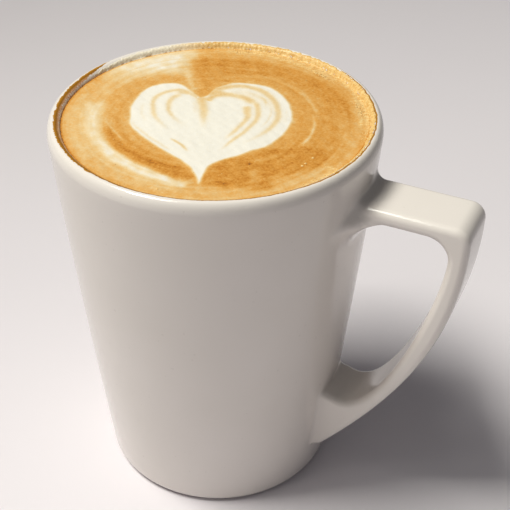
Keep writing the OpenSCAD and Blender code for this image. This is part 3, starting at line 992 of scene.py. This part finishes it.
def build_film(table, thickness, ragged):
    """A thin film on the lip, from rows of azimuth, radius and half width."""
    table = np.array(table)
    azimuth = np.arange(table[0, 0], table[-1, 0], -FILM_STEP)
    radius = np.interp(-azimuth, -table[:, 0], table[:, 1])
    half = np.interp(-azimuth, -table[:, 0], table[:, 2])
    along = np.stack([np.radians(azimuth) * CREST_R, np.zeros(len(azimuth))], 1)
    unevenness = 1.3 * waves(along, 2.2, 61) + waves(along, 0.9, 62)
    half = half * np.clip(1 + ragged * unevenness, 0.3, 2)
    radius = radius + 0.05 * waves(along, 3, 63)
    count = np.arange(len(half))
    half = np.maximum(half * smooth(np.minimum(count, count[::-1]) / FILM_TAPER), 0.02)
    s = np.linspace(-1, 1, FILM_CELLS + 1)
    a = np.radians(azimuth)[:, None]
    r = radius[:, None] + s * half[:, None]
    inner = np.maximum(lip_z(np.minimum(r, CREST_R)), LEVEL_Z)
    outer = LIP_FOOT_Z + LIP_OUTER_H * np.sqrt(
        np.maximum(1 - (np.maximum(r - CREST_R, 0) / LIP_OUTER_W) ** 2, 0))
    z = np.where(r <= CREST_R, inner, outer)
    xy = turned(np.stack([r * np.cos(a), r * np.sin(a)], 2))
    grid = np.stack([a * CREST_R + 0 * r, r], 2).reshape(-1, 2)
    lumps = 1 + 0.5 * np.clip(waves(grid, 0.9, 64).reshape(r.shape), -1, 1)
    top_z = z + thickness * (1 - s ** 2) * lumps - FILM_EDGE
    top = np.dstack([xy, top_z[..., None]]).reshape(-1, 3)
    under = np.dstack([xy, (z - FILM_UNDER)[..., None]]).reshape(-1, 3)
    # Each row is a closed ring: out over the top and back along the underside.
    index = np.arange(len(top)).reshape(r.shape)
    rings = np.hstack([index, index[:, ::-1] + len(top)])
    faces = [face for a, b in zip(rings[:-1], rings[1:]) for face in bridge(a, b)]
    for ring in (rings[0], rings[-1, ::-1]):
        loop = ring.tolist()
        faces += [(loop[k], loop[k + 1], loop[-k - 2], loop[-k - 1]) for k in range(FILM_CELLS)]
    return np.vstack([top, under]), faces


# Foam that has climbed the lip: milk at the back left, froth at the back and right.
LIP_FROTH = (
    (148, 39.8, 0.08), (138, 39.9, 0.4), (125, 40.1, 0.7), (104, 40.2, 0.8), (92, 40.2, 0.85),
    (70, 40.2, 0.85), (45, 40.2, 0.85), (22, 40.15, 0.8), (0, 40.15, 0.75), (-15, 40.1, 0.7),
    (-35, 40.1, 0.6), (-52, 40.0, 0.35), (-62, 39.9, 0.08),
)
LIP_FROTH_COLOURS = ((0.35, (212, 164, 92)), (0.5, (228, 190, 122)), (0.68, FROTH_COLOUR))
MILK_COLOUR = (238, 228, 208)
# The milk lies to this side of the view frame, and fades over this many metres each way.
MILK_SIDE = (-0.97, -0.23)
MILK_FADE = 0.006


def lip_froth_material():
    m = Material("lip_froth", Roughness=0.35, IOR=1.36, Specular_IOR_Level=0.5)
    froth = m.ramp(m.noise(0.8, detail=3, roughness=0.7), LIP_FROTH_COLOURS)
    milk = m.add("MapRange", Value=m.along(MILK_SIDE), From_Min=-MILK_FADE,
                 From_Max=MILK_FADE).outputs["Result"]
    m.to("Base Color", m.mix(milk, froth, linear(MILK_COLOUR)))
    m.bump(m.noise(0.5, detail=2), 0.05)
    return m.mat


# The radii that the stain's colours run between: a dark line of painted shade in the crease
# next to the foam, a thin veil, and the brown ring outside them.
STAIN_AND_SHADE_RADII = (39.7, 41.8)
STAIN_AND_SHADE_COLOURS = (
    (0.0, (128, 92, 62)), (0.12, (196, 150, 118)), (0.3, (214, 166, 130)), (0.4, (190, 138, 84)),
    (0.5, (146, 96, 22)), (0.75, (166, 112, 26)), (0.95, (196, 146, 58)),
)


def stain_and_shade_material():
    m = Material("dried_coffee_and_edge_shade", Roughness=0.35, IOR=1.45, Specular_IOR_Level=0.4)
    place = m.add("VectorMath", {"operation": "MULTIPLY"}, i0=m.add("TexCoord").outputs["Object"],
                  i1=(1, 1, 0)).outputs[0]
    radius = m.add("VectorMath", {"operation": "LENGTH"}, i0=place).outputs["Value"]
    uneven = m.math("MULTIPLY_ADD", m.noise(1.6, detail=3, roughness=0.6), 0.5 * MM, radius)
    across = m.add("MapRange", Value=uneven, From_Min=STAIN_AND_SHADE_RADII[0] * MM,
                   From_Max=STAIN_AND_SHADE_RADII[1] * MM).outputs["Result"]
    # The darkest stop, at the inner edge, is painted shade where the film meets the foam; the others
    # are the stain's own colour.
    m.to("Base Color", m.ramp(across, STAIN_AND_SHADE_COLOURS))
    m.bump(m.noise(0.5), 0.02)
    return m.mat


# ---- stage

# Metres from the right front, and the floor's colour there: painted light falloff, brightest at the
# right front and darker towards the back and left.
FLOOR_FALLOFF_COLOURS = (
    (0.0, (238, 233, 239)), (0.13, (230, 225, 231)), (0.23, (221, 216, 222)),
    (0.34, (212, 207, 212)), (0.47, (199, 194, 199)),
)
FLOOR_HALF = 1500.0


def build_stage():
    floor = Material("pale_floor", Roughness=0.6, Specular_IOR_Level=0.15)
    # Painted light falloff: the table's colour is palest beside the mug and darker towards its back
    # and left.
    depth = floor.along((-1.0, 0.8), 0.09)
    shade = floor.math("MULTIPLY_ADD", floor.noise(60, detail=3), 0.02, depth)
    floor.to("Base Color", floor.ramp(shade, FLOOR_FALLOFF_COLOURS))
    floor.bump(floor.noise(1.5), 0.02)
    corners = [(x * FLOOR_HALF, y * FLOOR_HALF, 0) for x, y in ((-1, -1), (1, -1), (1, 1), (-1, 1))]
    mesh_object("floor", corners, [(0, 1, 2, 3)], floor.mat)


def softbox(name, direction, distance, size, power, colour, spin=0):
    """An area light that looks at the mug, from a direction of the view frame. Its size is its
    width and height, and spin turns it in its own plane."""
    light = bpy.data.lights.new(name, "AREA")
    light.shape = "RECTANGLE"
    light.size, light.size_y = size
    light.energy = power
    light.color = colour
    obj = bpy.data.objects.new(name, light)
    bpy.context.scene.collection.objects.link(obj)
    aim = Vector((0, 0, MUG_H / 2)) * MM
    toward = Vector(turned(np.array(direction, float))).normalized()
    obj.location = aim + toward * distance
    own_turn = Quaternion((0, 0, 1), math.radians(spin))
    obj.rotation_euler = (toward.to_track_quat("Z", "Y") @ own_turn).to_euler()


# Watts, and the strength of the light from all round.
KEY_POWER = 12.2
STRIP_POWER = 1.2
FILL_POWER = 0.8
WORLD_STRENGTH = 0.105
WORLD_COLOUR = (0.97, 0.975, 1.0, 1.0)


def build_lights():
    softbox("key_light", (-0.42, -0.005, 0.905), 1.1, (0.45, 0.3), KEY_POWER, (1.0, 0.99, 0.9))
    # A long strip gives the thin bright lines on the handle's edge and on the lip.
    softbox("strip_light", (-0.29, -0.17, 0.94), 1.1, (0.1, 0.6), STRIP_POWER,
            (1.0, 0.99, 0.91), spin=33.6)
    softbox("fill_light", (-0.75, -0.6, 0.45), 1.2, (0.8, 0.8), FILL_POWER, (1.0, 0.985, 0.88))
    world = bpy.data.worlds.new("studio")
    world.use_nodes = True
    background = world.node_tree.nodes["Background"]
    background.inputs["Color"].default_value = WORLD_COLOUR
    background.inputs["Strength"].default_value = WORLD_STRENGTH
    bpy.context.scene.world = world


# The camera in the view frame: place, degrees down, degrees of roll, lens in millimetres.
CAMERA_AT = (10.364, -255.078, 252.018)
CAMERA_DOWN = 36.28
CAMERA_ROLL = 0.497
CAMERA_LENS = 79.88


def build_camera():
    """The viewpoint, in the view frame, then turned with it."""
    data = bpy.data.cameras.new("camera")
    data.lens = CAMERA_LENS
    camera = bpy.data.objects.new("camera", data)
    bpy.context.scene.collection.objects.link(camera)
    place = Matrix.Translation(Vector(CAMERA_AT) * MM)
    look = Matrix.Rotation(math.radians(90 - CAMERA_DOWN), 4, "X")
    roll = Matrix.Rotation(math.radians(CAMERA_ROLL), 4, "Z")
    turn = Matrix.Rotation(math.radians(HANDLE_TURN), 4, "Z")
    camera.matrix_world = turn @ place @ look @ roll
    bpy.context.scene.camera = camera


build_camera()
build_lights()
build_stage()

mug = mesh_object("mug_body", *build_mug(), porcelain())
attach(mug, "root")
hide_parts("mug")

drink_points, drink_faces, drink_values = build_drink()
drink = mesh_object("latte_drink", drink_points, drink_faces, foam_material(), drink_values)
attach(drink, "root")
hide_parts("latte")

bubbles = mesh_object("froth_bubbles", *build_bubbles(), bubble_material())
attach(bubbles, "root")

stain = mesh_object("coffee_stain", *build_film(STAIN, 0.05, 0.06), stain_and_shade_material())
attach(stain, "root")

lip_froth = mesh_object("lip_froth", *build_film(LIP_FROTH, 0.16, 0.1), lip_froth_material())
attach(lip_froth, "root")

bpy.context.scene.view_settings.view_transform = "Standard"
